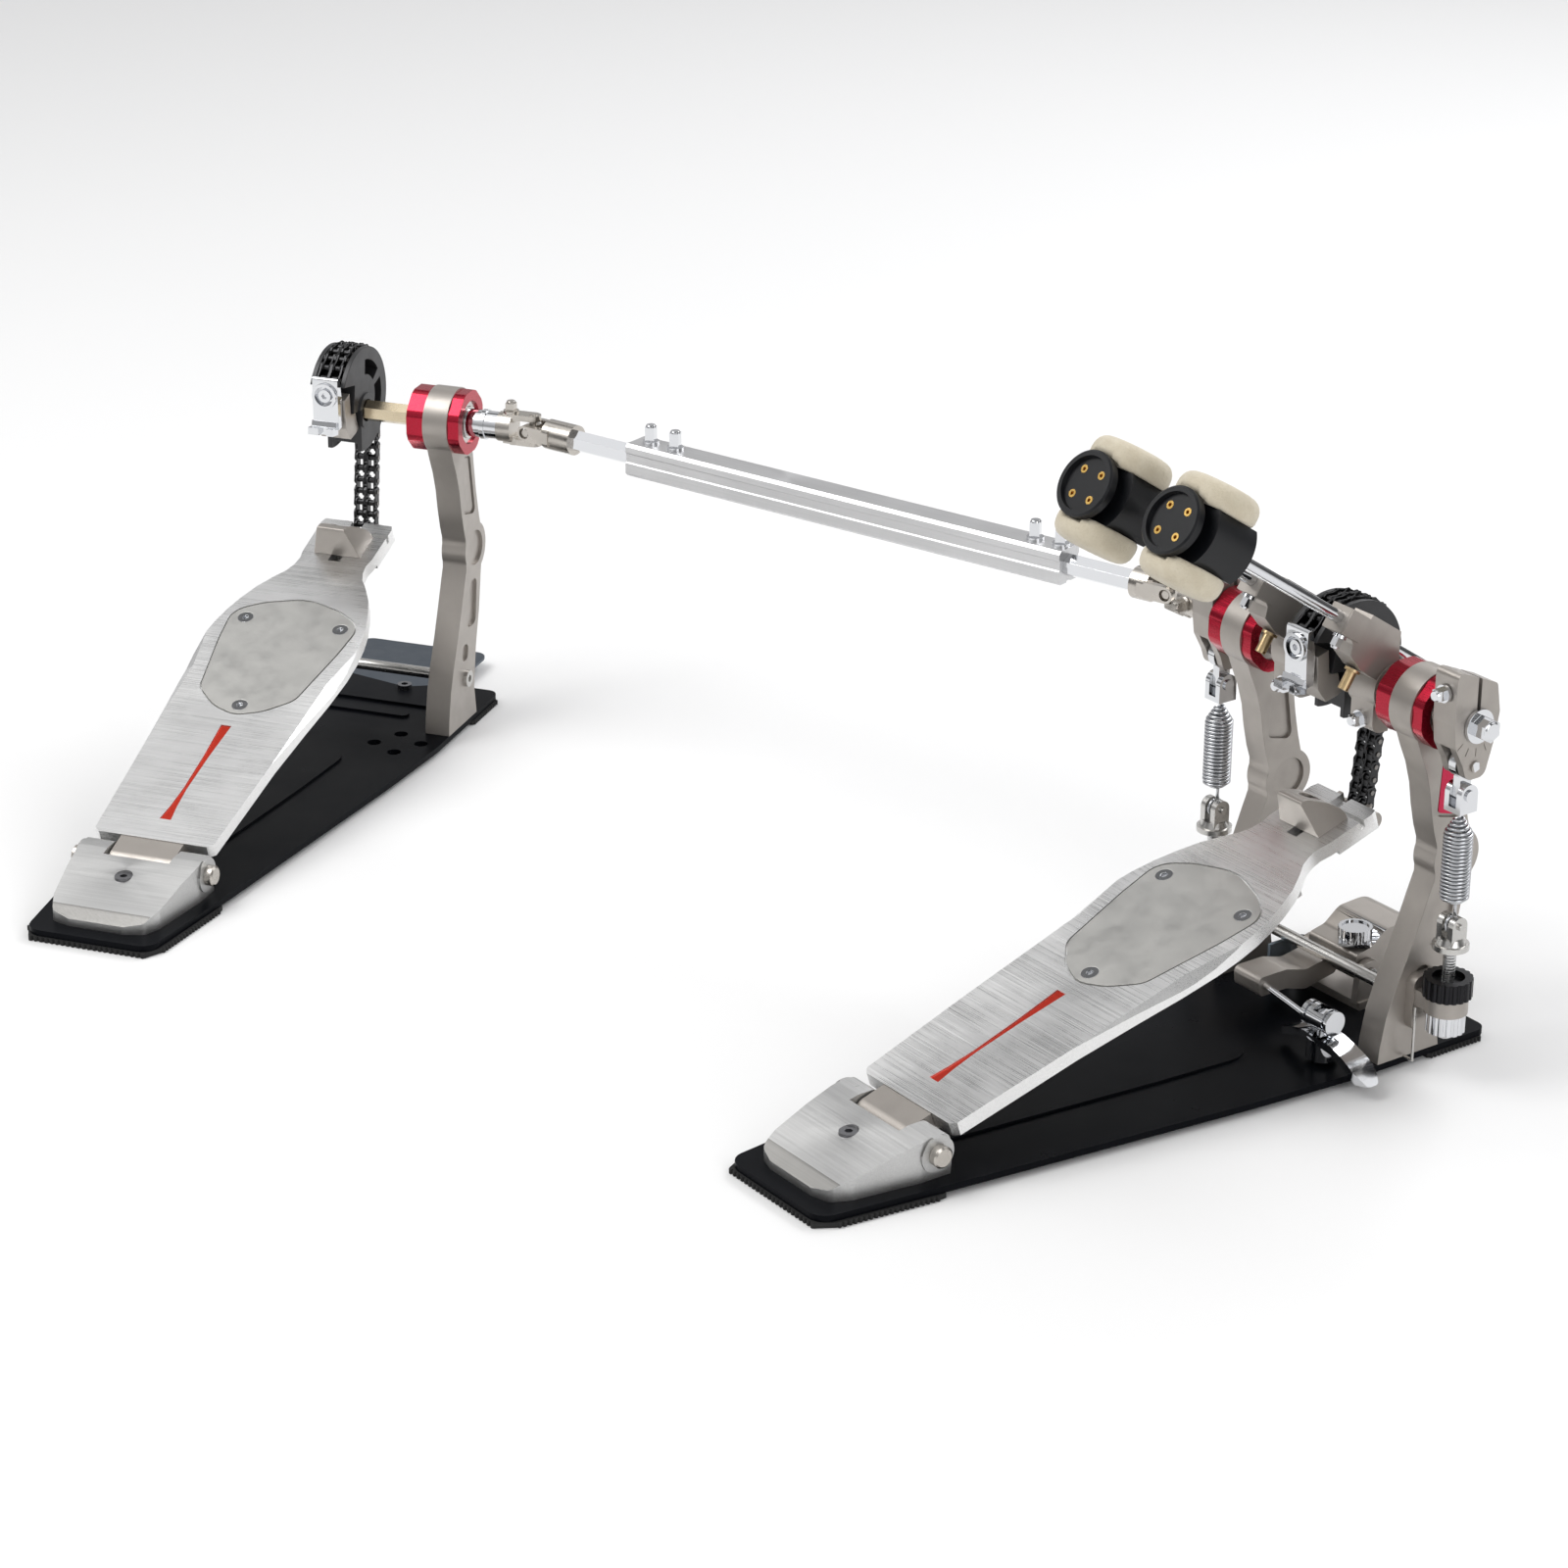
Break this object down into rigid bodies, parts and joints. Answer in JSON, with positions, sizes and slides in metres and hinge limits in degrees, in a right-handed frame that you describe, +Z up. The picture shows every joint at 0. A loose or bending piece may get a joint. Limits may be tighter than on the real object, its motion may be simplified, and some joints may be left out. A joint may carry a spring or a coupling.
{
  "type": "double bass drum pedal",
  "caption": "Double kick-drum pedal: two hinged footboards on black base plates pull chains over cams that swing felt beaters, linked by a telescopic drive shaft.",
  "frame": {"origin": "on the floor, under the beater shaft axis and on the centre line of the right-hand (main) pedal", "axes": "+X towards the player's right along the beater shaft, +Y from the heel towards the drum, +Z up"},
  "size_m": [0.7672, 0.5364, 0.302],
  "materials": {
    "black_sheet": "gloss black",
    "brushed_alu": "brushed",
    "cam_black": "satin black",
    "cast_grey": "satin cast",
    "chain_black": "satin black",
    "chrome": "mirror",
    "felt": "felt",
    "head_black": "gloss",
    "plate_grey": "satin",
    "red_anodised": "anodised red",
    "rubber_black": "matte",
    "spring_steel": "bright",
    "steel": "satin",
    "tube_alu": "extruded satin",
    "warm_steel": "warm nickel"
  },
  "bodies": {
    "main_frame": {"main_base_plate": "black_sheet", "main_base_pads": "rubber_black", "main_heel_plate": "brushed_alu", "left_post": "cast_grey", "right_post": "cast_grey", "main_bearing_housings": "red_anodised", "main_frame_hardware": "steel", "spring_lugs": "cast_grey", "hoop_lower_jaw": "cast_grey"},
    "hoop_jaw": {"hoop_upper_jaw": "cast_grey"},
    "hoop_screw": {"hoop_wing_screw": "chrome"},
    "slave_frame": {"slave_base_plate": "black_sheet", "slave_base_pads": "rubber_black", "slave_heel_plate": "brushed_alu", "slave_post": "cast_grey", "slave_bearing_housing": "red_anodised", "slave_frame_hardware": "steel"},
    "main_board": {"main_footboard": "brushed_alu", "main_traction_plate": "plate_grey", "main_toe_stop": "cast_grey", "main_board_fittings": "cast_grey"},
    "main_chain_upper": {"main_chain_upper": "chain_black"},
    "main_chain_middle": {"main_chain_middle": "chain_black"},
    "main_chain_drop": {"main_chain_drop": "chain_black"},
    "slave_board": {"slave_footboard": "brushed_alu", "slave_traction_plate": "plate_grey", "slave_toe_stop": "cast_grey", "slave_board_fittings": "cast_grey"},
    "slave_chain_upper": {"slave_chain_upper": "chain_black"},
    "slave_chain_middle": {"slave_chain_middle": "chain_black"},
    "slave_chain_drop": {"slave_chain_drop": "chain_black"},
    "main_shaft": {"main_shaft": "warm_steel", "main_cam": "cam_black", "main_chain_clamp": "chrome", "main_chain_wrap": "chain_black", "right_beater_hub": "cast_grey", "right_rocker": "cast_grey"},
    "slave_shaft": {"slave_shaft": "warm_steel", "slave_cam": "cam_black", "slave_chain_clamp": "chrome", "slave_chain_wrap": "chain_black"},
    "left_shaft": {"left_shaft": "warm_steel", "left_beater_hub": "cast_grey", "left_rocker": "cast_grey"},
    "drive_tube": {"drive_tube": "tube_alu"},
    "drive_rod": {"drive_rod": "steel"},
    "right_beater_rod": {"right_beater_rod": "steel"},
    "right_beater_head": {"right_beater_head": "head_black", "right_beater_felts": "felt"},
    "right_tension_rod": {"right_tension_rod": "steel"},
    "right_tension_nuts": {"right_tension_nuts": "steel"},
    "right_spring": {"right_spring": "spring_steel"},
    "right_spring_hook": {"right_spring_hook": "chrome"},
    "left_beater_rod": {"left_beater_rod": "steel"},
    "left_beater_head": {"left_beater_head": "head_black", "left_beater_felts": "felt"},
    "left_tension_rod": {"left_tension_rod": "steel"},
    "left_tension_nuts": {"left_tension_nuts": "steel"},
    "left_spring": {"left_spring": "spring_steel"},
    "left_spring_hook": {"left_spring_hook": "chrome"}
  },
  "joints": [
    {"name": "drive_shaft_length", "type": "slide", "parent": "main_frame", "child": "slave_frame", "axis": [0.9536, 0.3012, 0], "range_m": [-0.03, 0.03]},
    {"name": "right_pedal_swing", "type": "hinge", "parent": "main_frame", "child": "main_shaft", "pos_m": [0, 0, 0.178], "axis": [-1, 0, 0], "range_deg": [0, 50]},
    {"name": "main_footboard_hinge", "type": "hinge", "parent": "main_frame", "child": "main_board", "pos_m": [0, -0.258, 0.0177], "axis": [1, 0, 0], "range_deg": [-5.4, 0.2]},
    {"name": "main_chain_upper_pin", "type": "hinge", "parent": "main_shaft", "child": "main_chain_upper", "pos_m": [0, 0.0172, 0.20425], "axis": [1, 0, 0], "range_deg": [-0.5, 12]},
    {"name": "main_chain_middle_pin", "type": "hinge", "parent": "main_chain_upper", "child": "main_chain_middle", "pos_m": [0, 0.02427, 0.19381], "axis": [1, 0, 0], "range_deg": [-0.5, 27.6]},
    {"name": "main_toe_chain_pin", "type": "hinge", "parent": "main_board", "child": "main_chain_drop", "pos_m": [0, 0.01663, 0.09925], "axis": [1, 0, 0], "range_deg": [-0.5, 7.7]},
    {"name": "left_pedal_swing", "type": "hinge", "parent": "slave_frame", "child": "slave_shaft", "pos_m": [-0.5863, -0.1809, 0.178], "axis": [-0.8211, -0.5707, 0], "range_deg": [0, 50]},
    {"name": "slave_footboard_hinge", "type": "hinge", "parent": "slave_frame", "child": "slave_board", "pos_m": [-0.43906, -0.39276, 0.0177], "axis": [0.8211, 0.5707, 0], "range_deg": [-5.4, 0.2]},
    {"name": "slave_chain_upper_pin", "type": "hinge", "parent": "slave_shaft", "child": "slave_chain_upper", "pos_m": [-0.59611, -0.16678, 0.20425], "axis": [0.8211, 0.5707, 0], "range_deg": [-0.5, 12]},
    {"name": "slave_chain_middle_pin", "type": "hinge", "parent": "slave_chain_upper", "child": "slave_chain_middle", "pos_m": [-0.60015, -0.16097, 0.19381], "axis": [0.8211, 0.5707, 0], "range_deg": [-0.5, 27.6]},
    {"name": "slave_toe_chain_pin", "type": "hinge", "parent": "slave_board", "child": "slave_chain_drop", "pos_m": [-0.59579, -0.16724, 0.09925], "axis": [0.8211, 0.5707, 0], "range_deg": [-0.5, 7.7]},
    {"name": "left_shaft_swing", "type": "hinge", "parent": "main_frame", "child": "left_shaft", "pos_m": [-0.08, 0, 0.178], "axis": [-1, 0, 0], "range_deg": [-0.5, 50.5]},
    {"name": "drive_tube_spin", "type": "hinge", "parent": "slave_frame", "child": "drive_tube", "pos_m": [-0.49844, -0.11983, 0.178], "axis": [-0.9536, -0.3012, 0], "range_deg": [-0.5, 50.5]},
    {"name": "drive_rod_spin", "type": "hinge", "parent": "main_frame", "child": "drive_rod", "pos_m": [-0.119, 0, 0.178], "axis": [-0.9536, -0.3012, 0], "range_deg": [-0.5, 50.5]},
    {"name": "right_beater_height", "type": "slide", "parent": "main_shaft", "child": "right_beater_rod", "axis": [0, -0.8358, 0.549], "range_m": [-0.03, 0.02]},
    {"name": "right_beater_turn", "type": "hinge", "parent": "right_beater_rod", "child": "right_beater_head", "pos_m": [0.029, 0.00878, 0.19137], "axis": [0, -0.8358, 0.549], "range_deg": [-90, 90]},
    {"name": "right_tension_rod_slide", "type": "slide", "parent": "main_frame", "child": "right_tension_rod", "axis": [0, 0, 1], "range_m": [-0.00025, 0.00025]},
    {"name": "right_tension_nut_turn", "type": "hinge", "parent": "main_frame", "child": "right_tension_nuts", "pos_m": [0.082, 0, 0.04], "axis": [0, 0, 1], "range_deg": [-95, 95]},
    {"name": "right_spring_swing", "type": "hinge", "parent": "right_tension_rod", "child": "right_spring", "pos_m": [0.082, 0, 0.078], "axis": [1, 0, 0], "range_deg": [-0.3, 10.27]},
    {"name": "right_spring_stretch", "type": "slide", "parent": "right_spring", "child": "right_spring_hook", "axis": [0, 0, 1], "range_m": [-0.0002, 0.009], "deforming": ["right_spring"]},
    {"name": "left_beater_height", "type": "slide", "parent": "left_shaft", "child": "left_beater_rod", "axis": [0, -0.8358, 0.549], "range_m": [-0.03, 0.02]},
    {"name": "left_beater_turn", "type": "hinge", "parent": "left_beater_rod", "child": "left_beater_head", "pos_m": [-0.029, 0.00878, 0.19137], "axis": [0, -0.8358, 0.549], "range_deg": [-90, 90]},
    {"name": "left_tension_rod_slide", "type": "slide", "parent": "main_frame", "child": "left_tension_rod", "axis": [0, 0, 1], "range_m": [-0.00025, 0.00025]},
    {"name": "left_tension_nut_turn", "type": "hinge", "parent": "main_frame", "child": "left_tension_nuts", "pos_m": [-0.082, 0, 0.04], "axis": [0, 0, 1], "range_deg": [-95, 95]},
    {"name": "left_spring_swing", "type": "hinge", "parent": "left_tension_rod", "child": "left_spring", "pos_m": [-0.082, 0, 0.078], "axis": [1, 0, 0], "range_deg": [-0.3, 10.27]},
    {"name": "left_spring_stretch", "type": "slide", "parent": "left_spring", "child": "left_spring_hook", "axis": [0, 0, 1], "range_m": [-0.0002, 0.009], "deforming": ["left_spring"]},
    {"name": "hoop_jaw_pivot", "type": "hinge", "parent": "main_frame", "child": "hoop_jaw", "pos_m": [0, 0.015, 0.023], "axis": [1, 0, 0], "range_deg": [-3, 0]},
    {"name": "hoop_screw_turn", "type": "hinge", "parent": "main_frame", "child": "hoop_screw", "pos_m": [0.046, -0.042, 0], "axis": [0, 0, 1], "range_deg": [-55, 20]}
  ],
  "couplings": [
    {"joint": "main_footboard_hinge", "follows": "right_pedal_swing", "ratio": -0.10386},
    {"joint": "main_chain_upper_pin", "follows": "right_pedal_swing", "ratio": 0.2295},
    {"joint": "main_chain_middle_pin", "follows": "right_pedal_swing", "ratio": 0.54025},
    {"joint": "main_toe_chain_pin", "follows": "right_pedal_swing", "ratio": 0.14375},
    {"joint": "slave_footboard_hinge", "follows": "left_pedal_swing", "ratio": -0.10386},
    {"joint": "slave_chain_upper_pin", "follows": "left_pedal_swing", "ratio": 0.2295},
    {"joint": "slave_chain_middle_pin", "follows": "left_pedal_swing", "ratio": 0.54025},
    {"joint": "slave_toe_chain_pin", "follows": "left_pedal_swing", "ratio": 0.14375},
    {"joint": "left_shaft_swing", "follows": "left_pedal_swing", "ratio": 1},
    {"joint": "drive_tube_spin", "follows": "left_pedal_swing", "ratio": 1},
    {"joint": "drive_rod_spin", "follows": "left_pedal_swing", "ratio": 1},
    {"joint": "right_tension_nut_turn", "follows": "right_tension_rod_slide", "rad_per_m": 6283.2},
    {"joint": "right_spring_swing", "follows": "right_pedal_swing", "ratio": 0.19943},
    {"joint": "right_spring_stretch", "follows": "right_pedal_swing", "m_per_rad": 0.0097183},
    {"joint": "left_tension_nut_turn", "follows": "left_tension_rod_slide", "rad_per_m": 6283.2},
    {"joint": "left_spring_swing", "follows": "left_pedal_swing", "ratio": 0.19943},
    {"joint": "left_spring_stretch", "follows": "left_pedal_swing", "m_per_rad": 0.0097183}
  ]
}
